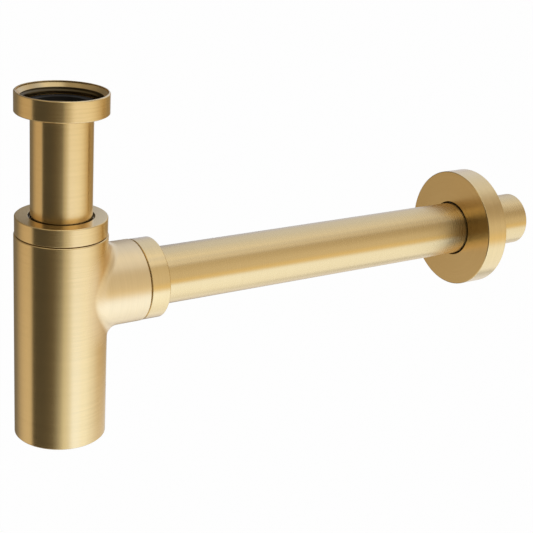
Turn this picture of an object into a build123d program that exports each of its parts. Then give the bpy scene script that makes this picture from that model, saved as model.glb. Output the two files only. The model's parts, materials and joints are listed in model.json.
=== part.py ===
from build123d import *
import os
from math import isclose

# Bottle trap for a wash basin, turned and cast in brass, with one size of waste tube.
# Millimetres, +Z up. The origin is the sealing face of the inlet gasket on the inlet axis,
# and the outlet tube runs along +X to the wall.

# Waste tubes
tube_d = 32.0
tube_wall = 1.2
tube_edge_break = 0.3
outlet_tube_length = 288.0
dip_clearance = 16.0

# Clearances
seal_gap = 0.1
ring_gap = 0.3
part_gap = 0.3
groove_gap = 0.05
coarse_thread_gap = 0.8
fine_thread_gap = 0.5
neck_end_gap = 0.4
edge_break = 0.4

# Inlet coupling: union nut, gasket and the flange formed on the inlet tube
inlet_flange_width = 3.2
inlet_flange_thickness = 1.0
inlet_flange_bend = 0.8
gasket_thickness = 2.0
flange_pass_gap = 0.276
inlet_thread_ridge = 1.479
inlet_thread_length = 3.4
inlet_relief = 0.25
inlet_web = 1.5
mouth_bevel = 2.0
mouth_wall = 0.9
mouth_rim = 1.05

# Top compression joint, where the bottle grips the inlet tube
free_tube = 54.2
top_nut_height = 9.55
top_nut_web = 2.0
top_nut_wall = 3.0
top_hole_gap = 1.0
top_hole_break = 0.2
top_seam = 0.25
top_neck_gap = 1.0
top_seat_width = 2.0
top_seat_depth = 4.0
top_neck_wall = 1.2
slip_ring_thickness = 1.2
seal_foot = 0.6

# Bottle
bottle_proud = 0.4
bottle_wall = 2.4
bottle_top_wall = 3.0
bottle_height = 113.2
outlet_drop = 32.4

# Outlet branch and its compression joint
branch_reach = 42.2
branch_blend = 6.5
branch_wall = 2.8
branch_land = 8.2
branch_proud = 0.2
tube_stand_in = 2.0
outlet_seam = 0.35
outlet_nut_length = 11.25
outlet_nut_web = 2.0
outlet_nut_wall = 2.25
outlet_hole_gap = 0.25
outlet_neck_gap = 0.3
outlet_seat_width = 2.0
outlet_seat_depth = 4.0
outlet_neck_wall = 1.2

# Cleaning plug in the base
plug_thread_length = 5.0
plug_nose_length = 3.5
plug_stop_width = 0.5
plug_nose_gap = 0.2
plug_floor = 5.5
plug_rim_wall = 4.0
plug_slot_length = 26.0
plug_slot_width = 3.0
plug_slot_depth = 2.2
base_ring_section = 1.8

# Wall flange
flange_d = 72.0
flange_depth = 14.8
flange_face = 3.0
flange_rim = 2.5
flange_hole_gap = 0.6
flange_setback = 36.6
hub_length = 8.0
hub_wall = 2.0
grip_ring_section = 2.0

# Radii that follow from the tube
tube_r = tube_d / 2
bore_r = tube_r - tube_wall
seal_r = tube_r + seal_gap
ring_r = tube_r + ring_gap

# Inlet coupling
inlet_flange_r = tube_r + inlet_flange_width
inlet_thread_r = inlet_flange_r + flange_pass_gap + inlet_thread_ridge
inlet_mouth_r = inlet_thread_r + mouth_bevel
inlet_nut_r = inlet_mouth_r + mouth_rim
inlet_flange_top = -gasket_thickness
inlet_flange_bottom = inlet_flange_top - inlet_flange_thickness
inlet_nut_bottom = inlet_flange_bottom - inlet_web
inlet_nut_top = inlet_thread_length + mouth_bevel + mouth_wall

# Top joint
top_neck_bore_r = tube_r + top_neck_gap
top_seat_r = top_neck_bore_r + top_seat_width
top_neck_r = top_seat_r + top_neck_wall
top_nut_bore_r = top_neck_r + coarse_thread_gap
top_nut_r = top_nut_bore_r + top_nut_wall
top_nut_top = inlet_nut_bottom - free_tube
top_nut_bottom = top_nut_top - top_nut_height
top_slip_top = top_nut_top - top_nut_web
top_slip_bottom = top_slip_top - slip_ring_thickness
top_neck_top = top_slip_bottom - neck_end_gap
top_seat_bottom = top_neck_top - top_seat_depth

# Bottle
bottle_r = top_nut_r + bottle_proud
bottle_bore_r = bottle_r - bottle_wall
bottle_top = top_nut_bottom - top_seam
bottle_bottom = bottle_top - bottle_height
outlet_z = bottle_top - outlet_drop

# Outlet joint, measured along X from the inlet axis
outlet_neck_bore_r = tube_r + outlet_neck_gap
outlet_seat_r = outlet_neck_bore_r + outlet_seat_width
outlet_neck_r = outlet_seat_r + outlet_neck_wall
outlet_nut_bore_r = outlet_neck_r + fine_thread_gap
outlet_nut_r = outlet_nut_bore_r + outlet_nut_wall
branch_r = outlet_nut_r + branch_proud
branch_room = outlet_drop - branch_r - 2 * edge_break
branch_core_r = branch_r - branch_wall
branch_core_end = branch_reach - branch_land
outlet_nut_start = branch_reach + outlet_seam
outlet_nut_end = outlet_nut_start + outlet_nut_length
outlet_slip_end = outlet_nut_end - outlet_nut_web
outlet_slip_start = outlet_slip_end - slip_ring_thickness
outlet_neck_end = outlet_slip_start - neck_end_gap
outlet_seat_start = outlet_neck_end - outlet_seat_depth
outlet_tube_start = branch_core_end - tube_stand_in
outlet_tube_end = outlet_tube_start + outlet_tube_length

# Base plug
plug_r = bottle_bore_r + plug_stop_width
base_thread_r = plug_r + fine_thread_gap
plug_nose_r = bottle_bore_r - plug_nose_gap
plug_shoulder = bottle_bottom + plug_thread_length
plug_top = plug_shoulder + plug_nose_length
base_ring_outer_r = bottle_bore_r - seal_gap
base_ring_r = base_ring_outer_r - base_ring_section / 2
base_ring_z = plug_shoulder + plug_nose_length / 2
dip_end = plug_top + dip_clearance

# Wall flange
flange_r = flange_d / 2
flange_back = outlet_tube_end - flange_setback
flange_front = flange_back - flange_depth
flange_hole_r = tube_r + flange_hole_gap
grip_ring_r = seal_r + grip_ring_section / 2
grip_groove_r = seal_r + grip_ring_section + groove_gap
hub_r = grip_groove_r + hub_wall
hub_end = flange_front + hub_length
grip_ring_x = flange_front + hub_length / 2

# Profiles are drawn as (radius, distance along the axis) on one of these two planes.
inlet_plane = Plane.XZ
outlet_plane = Plane(origin=(0, 0, outlet_z), x_dir=(0, 0, 1), z_dir=(0, 1, 0))
branch_plane = Plane(origin=(0, 0, outlet_z), x_dir=(0, 1, 0), z_dir=(1, 0, 0))
outlet_axis = Axis((0, 0, outlet_z), (1, 0, 0))


def half_section(plane, *points):
    """A closed straight-sided half section of a turned piece."""
    with BuildSketch(plane) as section:
        with BuildLine():
            Polyline(*points, close=True)
        make_face()
    return section.sketch


def round_section(plane, radius, along, diameter):
    """The round section of an O-ring."""
    with BuildSketch(plane) as section:
        with Locations((radius, along)):
            Circle(diameter / 2)
    return section.sketch


def rims(piece, radius):
    """The circular edges of one radius on a turned piece."""
    circles = piece.edges().filter_by(GeomType.CIRCLE)
    return circles.filter_by(lambda rim: isclose(rim.radius, radius, abs_tol=1e-4))


# Inlet union nut: mouth with a short straight wall and a bevel, threaded bore, relief at its foot,
# and a web that lifts the tube flange
with BuildPart() as inlet_nut:
    revolve(
        half_section(
            inlet_plane,
            (ring_r, inlet_nut_bottom),
            (inlet_nut_r, inlet_nut_bottom),
            (inlet_nut_r, inlet_nut_top),
            (inlet_mouth_r, inlet_nut_top),
            (inlet_mouth_r, inlet_nut_top - mouth_wall),
            (inlet_thread_r, inlet_thread_length),
            (inlet_thread_r, 0),
            (inlet_thread_r + inlet_relief, 0),
            (inlet_thread_r + inlet_relief, inlet_flange_bottom),
            (ring_r, inlet_flange_bottom),
        ),
        axis=Axis.Z,
    )
    chamfer(rims(inlet_nut, inlet_nut_r), edge_break)
inlet_nut.part.label = "inlet_nut"

# Flat rubber gasket on the tube flange
with BuildPart() as inlet_gasket:
    revolve(
        half_section(
            inlet_plane,
            (bore_r, inlet_flange_top),
            (inlet_flange_r, inlet_flange_top),
            (inlet_flange_r, 0),
            (bore_r, 0),
        ),
        axis=Axis.Z,
    )
inlet_gasket.part.label = "inlet_gasket"

# Inlet tube with its formed flange; the lower end dips into the bottle
with BuildPart() as inlet_tube:
    revolve(
        half_section(
            inlet_plane,
            (bore_r, dip_end),
            (tube_r, dip_end),
            (tube_r, inlet_flange_bottom),
            (inlet_flange_r, inlet_flange_bottom),
            (inlet_flange_r, inlet_flange_top),
            (bore_r, inlet_flange_top),
        ),
        axis=Axis.Z,
    )
    fillet(rims(inlet_tube, bore_r).sort_by(Axis.Z)[-1], inlet_flange_bend)
    chamfer(rims(inlet_tube, tube_r).sort_by(Axis.Z)[0], tube_edge_break)
inlet_tube.part.label = "inlet_tube"

# Top compression nut, the collar above the bottle
with BuildPart() as top_nut:
    revolve(
        half_section(
            inlet_plane,
            (tube_r + top_hole_gap, top_slip_top),
            (top_nut_bore_r, top_slip_top),
            (top_nut_bore_r, top_nut_bottom),
            (top_nut_r, top_nut_bottom),
            (top_nut_r, top_nut_top),
            (tube_r + top_hole_gap, top_nut_top),
        ),
        axis=Axis.Z,
    )
    chamfer(rims(top_nut, top_nut_r), edge_break)
    chamfer(rims(top_nut, tube_r + top_hole_gap).sort_by(Axis.Z)[-1], top_hole_break)
top_nut.part.label = "top_nut"

# Nylon ring that lets the nut turn without dragging the seal
with BuildPart() as top_slip_ring:
    revolve(
        half_section(
            inlet_plane,
            (ring_r, top_slip_bottom),
            (top_nut_bore_r - ring_gap, top_slip_bottom),
            (top_nut_bore_r - ring_gap, top_slip_top),
            (ring_r, top_slip_top),
        ),
        axis=Axis.Z,
    )
top_slip_ring.part.label = "top_slip_ring"

# Wedge seal in the cone of the bottle neck
top_seat_slope = top_seat_width / top_seat_depth
with BuildPart() as top_seal_ring:
    revolve(
        half_section(
            inlet_plane,
            (seal_r, top_seat_bottom + seal_foot),
            (top_neck_bore_r + seal_foot * top_seat_slope - seal_gap, top_seat_bottom + seal_foot),
            (top_seat_r - seal_gap, top_neck_top),
            (top_seat_r - seal_gap, top_slip_bottom),
            (seal_r, top_slip_bottom),
        ),
        axis=Axis.Z,
    )
top_seal_ring.part.label = "top_seal_ring"

# Trap body: bottle, threaded neck and side branch in one casting
with BuildPart() as trap_body:
    revolve(
        half_section(
            inlet_plane,
            (0, bottle_bottom),
            (bottle_r, bottle_bottom),
            (bottle_r, bottle_top),
            (0, bottle_top),
        ),
        axis=Axis.Z,
    )
    with BuildSketch(branch_plane):
        Circle(branch_r)
    extrude(amount=branch_reach)
    curved = trap_body.edges().filter_by(GeomType.LINE, reverse=True)
    junction = curved.filter_by(GeomType.CIRCLE, reverse=True)
    fillet(junction, min(branch_blend, branch_room))
    chamfer(rims(trap_body, bottle_r), edge_break)
    chamfer(rims(trap_body, branch_r), edge_break)
    revolve(
        half_section(
            inlet_plane,
            (0, bottle_top),
            (top_neck_r, bottle_top),
            (top_neck_r, top_neck_top),
            (0, top_neck_top),
        ),
        axis=Axis.Z,
    )
    revolve(
        half_section(
            outlet_plane,
            (0, branch_reach),
            (outlet_neck_r, branch_reach),
            (outlet_neck_r, outlet_neck_end),
            (0, outlet_neck_end),
        ),
        axis=outlet_axis,
    )
    revolve(
        half_section(
            inlet_plane,
            (0, bottle_bottom),
            (base_thread_r, bottle_bottom),
            (base_thread_r, plug_shoulder),
            (bottle_bore_r, plug_shoulder),
            (bottle_bore_r, bottle_top - bottle_top_wall),
            (top_neck_bore_r, bottle_top - bottle_top_wall),
            (top_neck_bore_r, top_seat_bottom),
            (top_seat_r, top_neck_top),
            (0, top_neck_top),
        ),
        axis=Axis.Z,
        mode=Mode.SUBTRACT,
    )
    revolve(
        half_section(
            outlet_plane,
            (0, 0),
            (branch_core_r, 0),
            (branch_core_r, branch_core_end),
            (outlet_neck_bore_r, branch_core_end),
            (outlet_neck_bore_r, outlet_seat_start),
            (outlet_seat_r, outlet_neck_end),
            (0, outlet_neck_end),
        ),
        axis=outlet_axis,
        mode=Mode.SUBTRACT,
    )
trap_body.part.label = "trap_body"

# Screwed cleaning plug, flush with the base, with a coin slot underneath and a hollow on its wet side
with BuildPart() as base_plug:
    revolve(
        half_section(
            inlet_plane,
            (0, bottle_bottom),
            (plug_r, bottle_bottom),
            (plug_r, plug_shoulder),
            (plug_nose_r, plug_shoulder),
            (plug_nose_r, plug_top),
            (plug_nose_r - plug_rim_wall, plug_top),
            (plug_nose_r - plug_rim_wall, bottle_bottom + plug_floor),
            (0, bottle_bottom + plug_floor),
        ),
        axis=Axis.Z,
    )
    chamfer(rims(base_plug, plug_r).sort_by(Axis.Z)[0], edge_break)
    with BuildSketch(Plane.XY.offset(bottle_bottom)):
        SlotOverall(plug_slot_length, plug_slot_width)
    extrude(amount=plug_slot_depth, mode=Mode.SUBTRACT)
    groove_half = base_ring_section / 2 + groove_gap
    groove_floor_r = base_ring_outer_r - base_ring_section - groove_gap
    revolve(
        half_section(
            inlet_plane,
            (groove_floor_r, base_ring_z - groove_half),
            (bottle_bore_r, base_ring_z - groove_half),
            (bottle_bore_r, base_ring_z + groove_half),
            (groove_floor_r, base_ring_z + groove_half),
        ),
        axis=Axis.Z,
        mode=Mode.SUBTRACT,
    )
base_plug.part.label = "base_plug"

# O-ring round the nose of the plug
with BuildPart() as base_oring:
    revolve(round_section(inlet_plane, base_ring_r, base_ring_z, base_ring_section), axis=Axis.Z)
base_oring.part.label = "base_oring"

# Outlet compression nut
with BuildPart() as outlet_nut:
    revolve(
        half_section(
            outlet_plane,
            (tube_r + outlet_hole_gap, outlet_slip_end),
            (outlet_nut_bore_r, outlet_slip_end),
            (outlet_nut_bore_r, outlet_nut_start),
            (outlet_nut_r, outlet_nut_start),
            (outlet_nut_r, outlet_nut_end),
            (tube_r + outlet_hole_gap, outlet_nut_end),
        ),
        axis=outlet_axis,
    )
    chamfer(rims(outlet_nut, outlet_nut_r), edge_break)
outlet_nut.part.label = "outlet_nut"

# Nylon ring behind the outlet nut
with BuildPart() as outlet_slip_ring:
    revolve(
        half_section(
            outlet_plane,
            (ring_r, outlet_slip_start),
            (outlet_nut_bore_r - ring_gap, outlet_slip_start),
            (outlet_nut_bore_r - ring_gap, outlet_slip_end),
            (ring_r, outlet_slip_end),
        ),
        axis=outlet_axis,
    )
outlet_slip_ring.part.label = "outlet_slip_ring"

# Wedge seal in the cone of the outlet neck
outlet_seat_slope = outlet_seat_width / outlet_seat_depth
with BuildPart() as outlet_seal_ring:
    revolve(
        half_section(
            outlet_plane,
            (seal_r, outlet_seat_start + seal_foot),
            (outlet_neck_bore_r + seal_foot * outlet_seat_slope - seal_gap, outlet_seat_start + seal_foot),
            (outlet_seat_r - seal_gap, outlet_neck_end),
            (outlet_seat_r - seal_gap, outlet_slip_start),
            (seal_r, outlet_slip_start),
        ),
        axis=outlet_axis,
    )
outlet_seal_ring.part.label = "outlet_seal_ring"

# Outlet tube, through the branch and the flange into the wall
with BuildPart() as outlet_tube:
    revolve(
        half_section(
            outlet_plane,
            (bore_r, outlet_tube_start),
            (tube_r, outlet_tube_start),
            (tube_r, outlet_tube_end),
            (bore_r, outlet_tube_end),
        ),
        axis=outlet_axis,
    )
    chamfer(rims(outlet_tube, tube_r), tube_edge_break)
outlet_tube.part.label = "outlet_tube"

# Wall flange: a turned cup, open at the back, with a grooved hub round the tube
with BuildPart() as wall_flange:
    revolve(
        half_section(
            outlet_plane,
            (flange_hole_r, flange_front),
            (flange_r, flange_front),
            (flange_r, flange_back),
            (flange_r - flange_rim, flange_back),
            (flange_r - flange_rim, flange_front + flange_face),
            (hub_r, flange_front + flange_face),
            (hub_r, hub_end),
            (flange_hole_r, hub_end),
        ),
        axis=outlet_axis,
    )
    chamfer(rims(wall_flange, flange_r), edge_break)
    chamfer(rims(wall_flange, flange_hole_r).sort_by(Axis.X)[0], edge_break)
    grip_half = grip_ring_section / 2 + groove_gap
    revolve(
        half_section(
            outlet_plane,
            (tube_r, grip_ring_x - grip_half),
            (grip_groove_r, grip_ring_x - grip_half),
            (grip_groove_r, grip_ring_x + grip_half),
            (tube_r, grip_ring_x + grip_half),
        ),
        axis=outlet_axis,
        mode=Mode.SUBTRACT,
    )
wall_flange.part.label = "wall_flange"

# O-ring in the hub, which grips the tube and holds the flange against the wall
with BuildPart() as flange_grip_ring:
    revolve(round_section(outlet_plane, grip_ring_r, grip_ring_x, grip_ring_section), axis=outlet_axis)
flange_grip_ring.part.label = "flange_grip_ring"

pieces = [
    inlet_nut,
    inlet_gasket,
    inlet_tube,
    top_nut,
    top_slip_ring,
    top_seal_ring,
    trap_body,
    base_plug,
    base_oring,
    outlet_nut,
    outlet_slip_ring,
    outlet_seal_ring,
    outlet_tube,
    wall_flange,
    flange_grip_ring,
]
os.makedirs("parts", exist_ok=True)
for piece in pieces:
    export_step(piece.part, f"parts/{piece.part.label}.step")
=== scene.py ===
"""Looks of a brushed brass basin bottle trap: finishes, screw threads, studio and camera.

Named lengths are millimetres and angles are degrees, unless a name or comment says otherwise.
Blender's own unit is the metre.
"""
import json
import math
from collections import namedtuple

import bmesh
import bpy
from mathutils import Matrix, Vector


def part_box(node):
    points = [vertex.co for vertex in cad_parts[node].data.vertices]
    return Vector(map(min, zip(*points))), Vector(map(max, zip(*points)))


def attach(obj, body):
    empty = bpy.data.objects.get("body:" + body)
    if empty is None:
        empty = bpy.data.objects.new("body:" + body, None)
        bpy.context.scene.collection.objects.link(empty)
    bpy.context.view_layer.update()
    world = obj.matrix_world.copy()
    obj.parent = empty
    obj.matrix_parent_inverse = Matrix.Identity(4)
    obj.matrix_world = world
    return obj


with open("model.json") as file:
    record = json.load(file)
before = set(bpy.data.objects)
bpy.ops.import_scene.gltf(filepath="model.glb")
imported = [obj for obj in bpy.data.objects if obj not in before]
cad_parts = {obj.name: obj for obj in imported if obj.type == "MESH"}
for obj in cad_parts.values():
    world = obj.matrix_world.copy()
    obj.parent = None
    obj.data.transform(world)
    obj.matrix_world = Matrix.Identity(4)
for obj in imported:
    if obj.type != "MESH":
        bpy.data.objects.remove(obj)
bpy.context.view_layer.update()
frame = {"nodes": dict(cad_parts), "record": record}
nodes = frame["nodes"]
mounts = {mount["name"]: mount for mount in frame["record"]["mounts"]}
screws = {screw["joint"]: screw for screw in frame["record"]["behaviour"]["couplings"]}

MM = 0.001
TURN = 2 * math.pi
WHITE = (1.0, 1.0, 1.0, 1.0)

# Camera, from the straight edges and rims of the photograph
PHOTO_SIDE_PX = 533
FOCAL_PX = 1266.22
EYE = (-259.07, -569.2, 150.04)
YAW = 34.31
PITCH = 20.41
ROLL = 3.85

# Height of the outlet's axis in metres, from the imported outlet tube
tube_low, tube_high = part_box("outlet_tube")
OUTLET_Z = (tube_low.z + tube_high.z) / 2


# Node helpers


def add(tree, kind, inputs=None, **settings):
    """Adds a node. An input is a value, or an output of another node to link."""
    made = tree.nodes.new(kind)
    for name, value in settings.items():
        setattr(made, name, value)
    for key, value in (inputs or {}).items():
        if isinstance(value, bpy.types.NodeSocket):
            tree.links.new(value, made.inputs[key])
        else:
            made.inputs[key].default_value = value
    return made


def calc(tree, operation, *values):
    """The result of a Math node."""
    return add(tree, "ShaderNodeMath", dict(enumerate(values)), operation=operation).outputs[0]


def vector_calc(tree, operation, *vectors):
    """A Vector Math node."""
    return add(tree, "ShaderNodeVectorMath", dict(enumerate(vectors)), operation=operation)


def dot(tree, a, b):
    """The dot product of two vectors."""
    return vector_calc(tree, "DOT_PRODUCT", a, b).outputs["Value"]


def separate(tree, vector):
    """The three values of a vector."""
    return add(tree, "ShaderNodeSeparateXYZ", {0: vector}).outputs


def combine(tree, x, y, z):
    """A vector of three values."""
    return add(tree, "ShaderNodeCombineXYZ", {0: x, 1: y, 2: z}).outputs[0]


def ramp(tree, value, low, high, to_low=0.0, to_high=1.0):
    """A smooth step of a value from low to high."""
    limits = {"From Min": low, "From Max": high, "To Min": to_low, "To Max": to_high}
    inputs = {"Value": value, **limits}
    return add(tree, "ShaderNodeMapRange", inputs, interpolation_type="SMOOTHSTEP").outputs["Result"]


def mix_colour(tree, factor, a, b, blend_type="MIX"):
    """One colour turning into another."""
    inputs = {0: factor, 6: a, 7: b}
    return add(tree, "ShaderNodeMix", inputs, data_type="RGBA", blend_type=blend_type).outputs[2]


def multiply(tree, a, b):
    """The product of two colours."""
    return mix_colour(tree, 1.0, a, b, "MULTIPLY")


def mix_vector(tree, factor, a, b):
    """One vector turning into another."""
    return add(tree, "ShaderNodeMix", {0: factor, 4: a, 5: b}, data_type="VECTOR").outputs[1]


def mix_value(tree, factor, a, b):
    """One number turning into another."""
    return add(tree, "ShaderNodeMix", {0: factor, 2: a, 3: b}).outputs[0]


def turn_into(tree, vector, vector_type, start, end):
    """A vector or normal taken from one space to another."""
    settings = {"vector_type": vector_type, "convert_from": start, "convert_to": end}
    return add(tree, "ShaderNodeVectorTransform", {0: vector}, **settings).outputs[0]


def rgba(colour, shade=1.0):
    """A colour with its alpha, made lighter or darker by a factor."""
    return (*(c * shade for c in colour), 1.0)


def material_colour(slot):
    """The record's colour of a material slot."""
    found = next(m for m in frame["record"]["materials"] if m["slot"] == slot)
    return tuple(found["base_color"])


def new_material(name):
    """An empty material with its output node."""
    material = bpy.data.materials.new(name)
    material.use_nodes = True
    tree = material.node_tree
    tree.nodes.clear()
    output = tree.nodes.new("ShaderNodeOutputMaterial")
    return material, tree, output


def place_at_rest(tree):
    """A surface point's place with the part at rest, in metres."""
    return add(tree, "ShaderNodeTexCoord").outputs["Object"]


# Brushed brass

# Noise lies mostly within one of these ranges, from a hard contrast to a soft one
HARD = (0.3, 0.7)
MEDIUM = (0.25, 0.75)
SOFT = (0.2, 0.8)

# Fine brush lines, in broader bands
LINE_SPACING = 0.24
LINE_LENGTH = 16.0
LINE_DEPTH = 0.0012
LINE_SHADES = (0.975, 1.02)
LINE_ROUGHNESS = (0.21, 0.25)
BAND_SPACING = 0.8
BAND_LENGTH = 80.0
BAND_DARK = (0.955, 0.95, 0.935, 1.0)
BAND_ROUGHNESS = (-0.01, 0.01)
NOISE_DETAIL = 2.0
NOISE_BREAKUP = 0.55
# Lines follow the place along the axis plus this share of the radius, so that walls, flat faces
# and bevels at 45 degrees all have them.
RADIUS_SHARE = 1.618

# How far highlights are drawn out across the brush lines, from 0 to 1, and their turn in turns
STREAK = 0.7
BODY_STREAK = 0.5
TUBE_STREAK = 0.9
STREAK_TURN = 0.25

# The tube and the branch are a little duller, and the branch is paler
TUBE_SOFTNESS = 0.04
BRANCH_SOFTNESS = 0.17
BRANCH_COLOUR = (0.92, 0.73, 0.43)

# The branch's brush lines take over between these distances past the bottle's wall
BRANCH_LINES_FROM = 0.2
BRANCH_LINES_FULL = 5.0
# Its paler tone fades over the bottle between these distances past the outlet nut's radius
BRANCH_TONE_FULL = 2.0
BRANCH_TONE_END = 14.0

# Edges catch the light as if rounded by this radius
EDGE_ROUND = 0.4
EDGE_SAMPLES = 6

# Bores are left raw and darkened with painted shade, up to the inlet thread on the inlet's axis and
# everywhere on the outlet's.
# The bevelled mouth past the inlet thread is a little raw and has a little painted shade.
RAW_AND_SHADED_R_INLET = 21.05
RAW_AND_SHADED_R_OUTLET = 40.0
RAW_AND_SHADED_EDGE = 0.06
# Painted shade: bores take this share of the brass colour, standing in for the shade inside them.
BORE_PAINTED_SHADE = 0.16
RAW_ROUGHNESS = 0.45
MOUTH_RAW_AND_SHADE_SHARE = 0.2
# Cosines from a wall that faces its own axis to one that doesn't
FACING_AXIS = (-0.3, -0.1)

# What a turned finish is made from: noise of lines and bands, bore mask (raw finish and painted
# shade) and brush direction
Turned = namedtuple("Turned", "lines bands bore brush")


def seen_along(tree, place, axis):
    """A place seen along an axis: (across, across, along), and its outward and brush directions."""
    x, y, z = separate(tree, place)
    if axis == "X":
        z = calc(tree, "SUBTRACT", z, OUTLET_Z)
        local = combine(tree, y, z, x)
        outward = combine(tree, 0.0, y, z)
        brush = combine(tree, 0.0, calc(tree, "MULTIPLY", z, -1.0), y)
    else:
        local = place
        outward = combine(tree, x, y, 0.0)
        brush = combine(tree, calc(tree, "MULTIPLY", y, -1.0), x, 0.0)
    return local, outward, brush


def radius_of(tree, outward):
    """The distance from an axis."""
    return vector_calc(tree, "LENGTH", outward).outputs["Value"]


def brush_noise(tree, local, radius, spacing, length):
    """Noise in long lines round an axis, on walls and on faces square to the axis alike."""
    x, y, along = separate(tree, local)
    across = calc(tree, "MULTIPLY_ADD", radius, RADIUS_SHARE, along)
    fine, slow = 1 / (spacing * MM), 1 / (length * MM)
    vector = combine(
        tree,
        calc(tree, "MULTIPLY", x, slow),
        calc(tree, "MULTIPLY", y, slow),
        calc(tree, "MULTIPLY", across, fine),
    )
    inputs = {"Vector": vector, "Scale": 1.0, "Detail": NOISE_DETAIL, "Roughness": NOISE_BREAKUP}
    return add(tree, "ShaderNodeTexNoise", inputs).outputs[0]


def raw_and_shaded_bore(tree, radius, outward, raw_and_shaded_r):
    """How raw a wall is, and how deep its painted shade: 1 where it faces its own axis within a
    radius, and little past that.
    """
    normal = add(tree, "ShaderNodeNewGeometry").outputs["Normal"]
    own_normal = turn_into(tree, normal, "NORMAL", "WORLD", "OBJECT")
    direction = vector_calc(tree, "NORMALIZE", outward).outputs["Vector"]
    inward = ramp(tree, dot(tree, own_normal, direction), *FACING_AXIS, 1.0, 0.0)
    near = ramp(tree, radius, raw_and_shaded_r * MM, (raw_and_shaded_r + RAW_AND_SHADED_EDGE) * MM, 1.0, MOUTH_RAW_AND_SHADE_SHARE)
    return calc(tree, "MULTIPLY", inward, near)


def turned_finish(tree, place, axis, raw_and_shaded_r):
    """The finish of a piece that is turned and brushed round one axis."""
    local, outward, brush = seen_along(tree, place, axis)
    radius = radius_of(tree, outward)
    lines = brush_noise(tree, local, radius, LINE_SPACING, LINE_LENGTH)
    bands = brush_noise(tree, local, radius, BAND_SPACING, BAND_LENGTH)
    return Turned(lines, bands, raw_and_shaded_bore(tree, radius, outward, raw_and_shaded_r), brush)


def body_finish(tree, place):
    """The finish of the body, brushed round the bottle's axis, and round the branch's on the branch.

    The second value is 1 on the branch and fades over the bottle round it.
    """
    bottle_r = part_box("trap_body")[1].y
    nut_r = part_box("outlet_nut")[1].y
    from_bottle = radius_of(tree, seen_along(tree, place, "Z")[1])
    lines_from, lines_full = bottle_r + BRANCH_LINES_FROM * MM, bottle_r + BRANCH_LINES_FULL * MM
    on_branch = ramp(tree, from_bottle, lines_from, lines_full)
    bottle = turned_finish(tree, place, "Z", RAW_AND_SHADED_R_OUTLET)
    branch = turned_finish(tree, place, "X", RAW_AND_SHADED_R_OUTLET)
    finish = Turned(
        mix_value(tree, on_branch, bottle.lines, branch.lines),
        mix_value(tree, on_branch, bottle.bands, branch.bands),
        mix_value(tree, on_branch, bottle.bore, branch.bore),
        mix_vector(tree, on_branch, bottle.brush, branch.brush),
    )
    outlet_side = ramp(tree, separate(tree, place)[0], 0.0, bottle_r / 2)
    from_branch = radius_of(tree, seen_along(tree, place, "X")[1])
    tone_full, tone_end = nut_r + BRANCH_TONE_FULL * MM, nut_r + BRANCH_TONE_END * MM
    round_branch = ramp(tree, from_branch, tone_full, tone_end, 1.0, 0.0)
    return finish, calc(tree, "MULTIPLY", outlet_side, round_branch)


def brushed_brass(name, axis, raw_and_shaded_r=RAW_AND_SHADED_R_OUTLET, streak=STREAK, softness=0.0):
    """Satin brass, brushed round the axis Z or X, or round both on the body. Bores are raw, and
    darkened with painted shade.
    """
    material, tree, output = new_material(name)
    place = place_at_rest(tree)
    colour = material_colour("brushed_brass")
    if axis == "both":
        finish, near_branch = body_finish(tree, place)
        lacquer = mix_colour(tree, near_branch, rgba(colour), rgba(BRANCH_COLOUR))
        softness = calc(tree, "MULTIPLY", near_branch, softness)
    else:
        finish = turned_finish(tree, place, axis, raw_and_shaded_r)
        lacquer = rgba(colour)
    line_dark, line_light = (rgba(WHITE[:3], shade) for shade in LINE_SHADES)
    line_tone = mix_colour(tree, ramp(tree, finish.lines, *HARD), line_dark, line_light)
    band_tone = mix_colour(tree, ramp(tree, finish.bands, *MEDIUM), BAND_DARK, WHITE)
    satin = multiply(tree, multiply(tree, lacquer, line_tone), band_tone)
    line_gloss = ramp(tree, finish.lines, *MEDIUM, *LINE_ROUGHNESS)
    band_gloss = ramp(tree, finish.bands, *SOFT, *BAND_ROUGHNESS)
    brushed = calc(tree, "ADD", calc(tree, "ADD", line_gloss, band_gloss), softness)
    edges = {"Radius": EDGE_ROUND * MM}
    rounded = add(tree, "ShaderNodeBevel", edges, samples=EDGE_SAMPLES).outputs[0]
    depth = {"Strength": 1.0, "Distance": LINE_DEPTH * MM}
    relief = add(tree, "ShaderNodeBump", {**depth, "Height": finish.lines, "Normal": rounded})
    surface = add(tree, "ShaderNodeBsdfPrincipled", {
        # Bores take painted shade: the brass colour darkened to a set share.
        "Base Color": mix_colour(tree, finish.bore, satin, rgba(colour, BORE_PAINTED_SHADE)),
        "Metallic": 1.0,
        "Roughness": mix_value(tree, finish.bore, brushed, RAW_ROUGHNESS),
        "Anisotropic": streak,
        "Anisotropic Rotation": STREAK_TURN,
        "Normal": relief.outputs[0],
        "Tangent": turn_into(tree, finish.brush, "VECTOR", "OBJECT", "WORLD"),
    })
    tree.links.new(surface.outputs[0], output.inputs["Surface"])
    return material


# Rubber, nylon and cut brass in painted shade

GRAIN_DEPTH = 0.02


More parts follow.
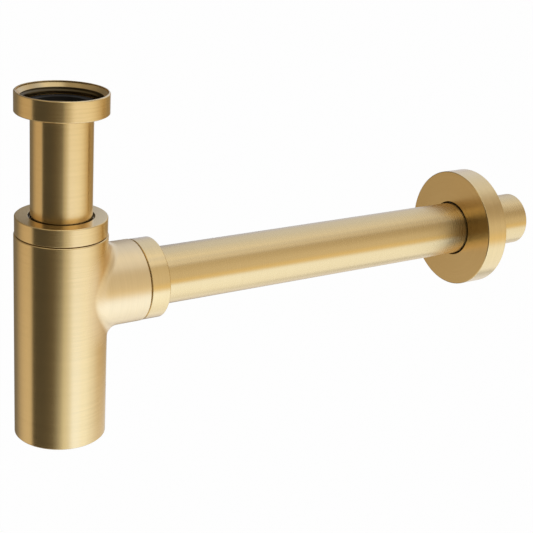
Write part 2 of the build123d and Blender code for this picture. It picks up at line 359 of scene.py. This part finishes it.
def grained(name, slot, scale, detail, shades, roughness, relief=0.0, metallic=0.0, specular=0.5):
    """A material with a grain in its colour, its gloss and, where it has any, its relief."""
    material, tree, output = new_material(name)
    noise = {"Vector": place_at_rest(tree), "Scale": scale, "Detail": detail}
    grain = add(tree, "ShaderNodeTexNoise", noise).outputs[0]
    dark, light = (rgba(material_colour(slot), shade) for shade in shades)
    inputs = {
        "Base Color": mix_colour(tree, grain, dark, light),
        "Metallic": metallic,
        "Roughness": ramp(tree, grain, *HARD, *roughness),
        "Specular IOR Level": specular,
    }
    if relief:
        bump = {"Strength": relief, "Distance": GRAIN_DEPTH * MM, "Height": grain}
        inputs["Normal"] = add(tree, "ShaderNodeBump", bump).outputs[0]
    surface = add(tree, "ShaderNodeBsdfPrincipled", inputs)
    tree.links.new(surface.outputs[0], output.inputs["Surface"])
    return material


def black_rubber():
    """Moulded rubber with a fine grain."""
    return grained("black_rubber_moulded", "black_rubber", scale=2500.0, detail=3.0,
                   shades=(0.7, 1.3), roughness=(0.48, 0.62), relief=0.6, specular=0.25)


def natural_nylon():
    """Milky nylon with faint flow marks."""
    return grained("nylon_natural", "nylon", scale=260.0, detail=3.0,
                   shades=(0.93, 1.0), roughness=(0.34, 0.46), relief=0.3)


def thread_brass_painted_shade():
    """Dull brass of a cut thread, darkened with painted shade."""
    shades = (0.8 * BORE_PAINTED_SHADE, 1.2 * BORE_PAINTED_SHADE)
    return grained("brass_thread_painted_shade", "brushed_brass", scale=400.0, detail=4.0,
                   shades=shades, roughness=(0.38, 0.5), metallic=1.0)


# Screw threads

# Radius of the wall and of the crest, then start and end along the axis
Thread = namedtuple("Thread", "wall_r crest_r start end")
INLET_R = mounts["inlet_thread"]["dims"]["r_mm"]
INLET_MOUTH = mounts["inlet_thread"]["dims"]["length_mm"]
INLET_RIDGE = 1.479
INLET_START = 0.15
INLET_THREAD = Thread(INLET_R, INLET_R - INLET_RIDGE, INLET_START, INLET_MOUTH)
TOP_NECK = Thread(20.2, 20.85, -68.3, -62.5)
OUTLET_NECK = Thread(19.5, 19.9, 42.4, 50.0)
BASE_PLUG = Thread(22.5, 22.9, -181.2, -176.9)

# Eleven threads to the inch
INLET_PITCH = 25.4 / 11

# A ridge's section, as shares of its height and of the pitch
RIDGE = ((0.0, -0.44), (0.5, -0.27), (1.0, -0.10), (1.0, 0.10), (0.5, 0.27), (0.0, 0.44))
RIDGE_STEPS = 120
RIDGE_SINK = 0.05
RIDGE_SHARP_ANGLE = 25
RUN_OUT_TURNS = 0.2


def pitch_of(joint):
    """A screw's travel in one turn, from the record's coupling."""
    return TURN / screws[joint]["ratio"] / MM


def point_about(axis, radius, angle, along):
    """A point in metres, at a radius, an angle in radians and a distance along an axis."""
    across, up = radius * math.cos(angle), radius * math.sin(angle)
    if axis == "X":
        return along * MM, across * MM, up * MM + OUTLET_Z
    return across * MM, up * MM, along * MM


def screw_thread(name, body, axis, sizes, pitch, material, mouth=None):
    """A right-hand ridge round a wall, sunk a little into it, that runs out at both ends.

    Past a mouth that is bevelled at 45 degrees from the wall, the ridge is cut back to the bevel.
    """
    height = sizes.crest_r - sizes.wall_r
    sink = math.copysign(RIDGE_SINK, height)
    foot = RIDGE[-1][1] - RIDGE[0][1]
    turns = (sizes.end - sizes.start) / pitch - foot
    steps = round(turns * RIDGE_STEPS)
    points = []
    for step in range(steps + 1):
        turn = turns * step / steps
        rise = min(1.0, turn / RUN_OUT_TURNS, (turns - turn) / RUN_OUT_TURNS)
        for share, across in RIDGE:
            along = sizes.start + (turn + across - RIDGE[0][1]) * pitch
            radius = sizes.wall_r + share * rise * height - (0 if share else sink)
            if mouth is not None:
                radius = max(radius, sizes.wall_r + along - mouth)
            points.append(point_about(axis, radius, turn * TURN, along))
    count = len(RIDGE)
    faces = [tuple(range(count)), tuple(steps * count + i for i in range(count))]
    for step in range(steps):
        for i in range(count):
            a, b = step * count + i, step * count + (i + 1) % count
            faces.append((a, b, b + count, a + count))
    mesh = bpy.data.meshes.new(name)
    mesh.from_pydata(points, [], faces)
    shaped = bmesh.new()
    shaped.from_mesh(mesh)
    bmesh.ops.recalc_face_normals(shaped, faces=shaped.faces)
    shaped.to_mesh(mesh)
    shaped.free()
    mesh.shade_smooth()
    mesh.set_sharp_from_angle(angle=math.radians(RIDGE_SHARP_ANGLE))
    mesh.materials.append(material)
    thread = bpy.data.objects.new(name, mesh)
    bpy.context.scene.collection.objects.link(thread)
    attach(thread, body)


# Pieces


def finish_pieces():
    """Gives every solid its finish, and adds the screw threads in the finish of their piece, the
    inlet nut's in dull brass darkened with painted shade.
    """
    brass_z = brushed_brass("brass_brushed_round_inlet", "Z", RAW_AND_SHADED_R_INLET)
    brass_x = brushed_brass("brass_brushed_round_outlet", "X")
    brass_tube = brushed_brass(
        "brass_brushed_tube", "X", streak=TUBE_STREAK, softness=TUBE_SOFTNESS)
    brass_body = brushed_brass(
        "brass_brushed_body", "both", streak=BODY_STREAK, softness=BRANCH_SOFTNESS)
    rubber = black_rubber()
    nylon = natural_nylon()
    finishes = {
        "inlet_nut": brass_z,
        "inlet_tube": brass_z,
        "top_nut": brass_z,
        "base_plug": brass_z,
        "trap_body": brass_body,
        "outlet_nut": brass_x,
        "outlet_tube": brass_tube,
        "wall_flange": brass_x,
        "top_slip_ring": nylon,
        "outlet_slip_ring": nylon,
    }
    for name, solid in nodes.items():
        solid.data.materials.clear()
        solid.data.materials.append(finishes.get(name, rubber))
    # The inlet nut's thread is dark with painted shade, like the bores.
    screw_thread("inlet_nut_thread", "inlet_nut", "Z", INLET_THREAD, INLET_PITCH,
                 thread_brass_painted_shade(), INLET_MOUTH)
    screw_thread("top_neck_thread", "trap_body", "Z", TOP_NECK, pitch_of("top_nut_turn"), brass_z)
    screw_thread("outlet_neck_thread", "trap_body", "X", OUTLET_NECK, pitch_of("outlet_nut_turn"),
                 brass_x)
    screw_thread("base_plug_thread", "base_plug", "Z", BASE_PLUG, pitch_of("base_plug_turn"), brass_z)


# Studio

# Soft panels round the object, each over the ones before it, with the light that comes from it.
# Azimuth is 0 on the camera's side and grows to its right, and elevation is 0 at the horizon.
# Each range is given as its start, the start's softness, its end and the end's softness.
ROOM = (0.78, 0.86, 1.10)
PANELS = {
    "low behind": ((-181, 1, 181, 1), (-95, 1, -16, 6), (0.40, 0.38, 0.37)),
    "right wall": ((0, 10, 140, 30), (-30, 10, 46, 8), (0.78, 0.71, 0.60)),
    "brown screen": ((76, 10, 120, 16), (14, 10, 48, 10), (0.42, 0.35, 0.27)),
    "high on the right": ((60, 10, 88, 6), (45, 5, 62, 8), (1.12, 1.12, 1.16)),
    "overhead": ((70, 12, 116, 10), (61, 3, 74, 6), (1.25, 1.23, 1.20)),
    "high on the left": ((-165, 15, 0, 15), (34, 10, 95, 1), (0.38, 0.33, 0.27)),
    "ceiling": ((0, 25, 181, 1), (66, 8, 95, 1), (1.05, 1.02, 0.95)),
    "gold wall": ((0, 10, 112, 20), (-22, 6, -4, 8), (0.95, 0.80, 0.51)),
    "floor": ((-10, 25, 174, 5), (-95, 1, -18, 10), (1.09, 1.19, 1.40)),
    "bright floor": ((30, 12, 74, 14), (-95, 1, -22, 7), (1.26, 1.48, 2.05)),
    "warm floor": ((62, 8, 80, 14), (-95, 1, -22, 8), (1.22, 1.36, 1.62)),
    "far floor": ((152, 10, 178, 4), (-58, 4, -34, 6), (0.85, 0.87, 0.95)),
    "floor edge": ((124, 5, 150, 6), (-56, 4, -46, 4), (0.45, 0.45, 0.48)),
    "low on the right": ((102, 24, 170, 6), (-29, 8, 10, 10), (0.62, 0.47, 0.26)),
    "low behind right": ((134, 10, 170, 6), (-22, 6, 8, 10), (0.36, 0.27, 0.15)),
    "behind left": ((-171, 2, -70, 10), (-70, 12, 42, 10), (0.21, 0.185, 0.15)),
    "left wall": ((-108, 20, -64, 3), (-24, 5, 28, 10), (0.58, 0.455, 0.305)),
    "left floor": ((-109, 29, -20, 20), (-80, 6, -20, 4), (0.75, 0.66, 0.54)),
    "over the screen": ((-64, 10, 28, 17), (42, 6, 64, 10), (0.72, 0.66, 0.52)),
    "half-lit screen": ((-64, 3, 28, 16), (-42, 8, 42, 6), (0.33, 0.285, 0.205)),
    "dark screen": ((-64, 3, 13, 4), (-42, 8, 42, 6), (0.08, 0.072, 0.058)),
    "edge of the screen": ((-16, 20, 13, 4), (-40, 8, 20, 10), (0.135, 0.11, 0.075)),
    "floor in front": ((9, 20, 32, 15), (-95, 1, -24, 5), (1.12, 1.16, 1.14)),
    "floor under the screen": ((-14, 12, 32, 15), (-95, 1, -40, 6), (1.05, 1.08, 1.05)),
}

# A floor well below the trap, which hangs free. The camera sees it nearly white.
FLOOR_Z = -420
FLOOR_SIDE = 40000
FLOOR_COLOUR = (0.9, 0.9, 0.9, 1.0)
FLOOR_WHITE = 0.98


def within(tree, angle, start, start_soft, end, end_soft):
    """A mask that is 1 between two angles, with soft ends."""
    rise = ramp(tree, angle, start - start_soft, start + start_soft)
    fall = ramp(tree, angle, end - end_soft, end + end_soft, 1.0, 0.0)
    return calc(tree, "MULTIPLY", rise, fall)


def light_studio():
    """World light: soft panels for what the metal mirrors, and plain white for the camera."""
    world = bpy.data.worlds.new("studio")
    bpy.context.scene.world = world
    world.use_nodes = True
    tree = world.node_tree
    tree.nodes.clear()
    yaw = math.radians(YAW)
    right = (math.cos(yaw), -math.sin(yaw), 0.0)
    toward = (-math.sin(yaw), -math.cos(yaw), 0.0)
    ray = add(tree, "ShaderNodeTexCoord").outputs["Generated"]
    turned = calc(tree, "ARCTAN2", dot(tree, ray, right), dot(tree, ray, toward))
    azimuth = calc(tree, "DEGREES", turned)
    elevation = calc(tree, "DEGREES", calc(tree, "ARCSINE", separate(tree, ray)[2]))
    light = rgba(ROOM)
    for across, up, colour in PANELS.values():
        mask = calc(tree, "MULTIPLY", within(tree, azimuth, *across), within(tree, elevation, *up))
        light = mix_colour(tree, mask, light, rgba(colour))
    seen = add(tree, "ShaderNodeLightPath").outputs["Is Camera Ray"]
    background = add(tree, "ShaderNodeBackground", {"Color": mix_colour(tree, seen, light, WHITE)})
    output = tree.nodes.new("ShaderNodeOutputWorld")
    tree.links.new(background.outputs[0], output.inputs["Surface"])


def lay_floor():
    """A white floor that keeps a faint shadow, isn't mirrored and is clear from below."""
    half = FLOOR_SIDE / 2 * MM
    z = FLOOR_Z * MM
    mesh = bpy.data.meshes.new("floor")
    corners = [(-half, -half, z), (half, -half, z), (half, half, z), (-half, half, z)]
    mesh.from_pydata(corners, [], [(0, 1, 2, 3)])
    floor = bpy.data.objects.new("floor", mesh)
    bpy.context.scene.collection.objects.link(floor)
    floor.visible_glossy = False
    material, tree, output = new_material("floor_white")
    matt = add(tree, "ShaderNodeBsdfDiffuse", {"Color": FLOOR_COLOUR}).outputs[0]
    white = add(tree, "ShaderNodeEmission", {"Color": WHITE, "Strength": 1.0}).outputs[0]
    clear = add(tree, "ShaderNodeBsdfTransparent").outputs[0]
    seen = add(tree, "ShaderNodeLightPath").outputs["Is Camera Ray"]
    share = calc(tree, "MULTIPLY", seen, FLOOR_WHITE)
    top = add(tree, "ShaderNodeMixShader", {0: share, 1: matt, 2: white}).outputs[0]
    below = add(tree, "ShaderNodeNewGeometry").outputs["Backfacing"]
    sided = add(tree, "ShaderNodeMixShader", {0: below, 1: top, 2: clear}).outputs[0]
    tree.links.new(sided, output.inputs["Surface"])
    mesh.materials.append(material)


def place_camera():
    """The photograph's viewpoint and lens."""
    yaw, pitch, roll = (math.radians(a) for a in (YAW, PITCH, ROLL))
    forward = Vector((
        math.sin(yaw) * math.cos(pitch),
        math.cos(yaw) * math.cos(pitch),
        -math.sin(pitch),
    ))
    level = Vector((math.cos(yaw), -math.sin(yaw), 0.0))
    upright = level.cross(forward)
    right = math.cos(roll) * level + math.sin(roll) * upright
    up = -math.sin(roll) * level + math.cos(roll) * upright
    camera = bpy.data.objects.new("camera", bpy.data.cameras.new("camera"))
    bpy.context.scene.collection.objects.link(camera)
    camera.data.lens = FOCAL_PX / PHOTO_SIDE_PX * camera.data.sensor_width
    camera.data.clip_end = FLOOR_SIDE * MM
    turn = Matrix((right, up, -forward)).transposed().to_4x4()
    camera.matrix_world = Matrix.Translation(Vector(EYE) * MM) @ turn
    bpy.context.scene.camera = camera


finish_pieces()
light_studio()
lay_floor()
place_camera()
bpy.context.scene.view_settings.view_transform = "Standard"
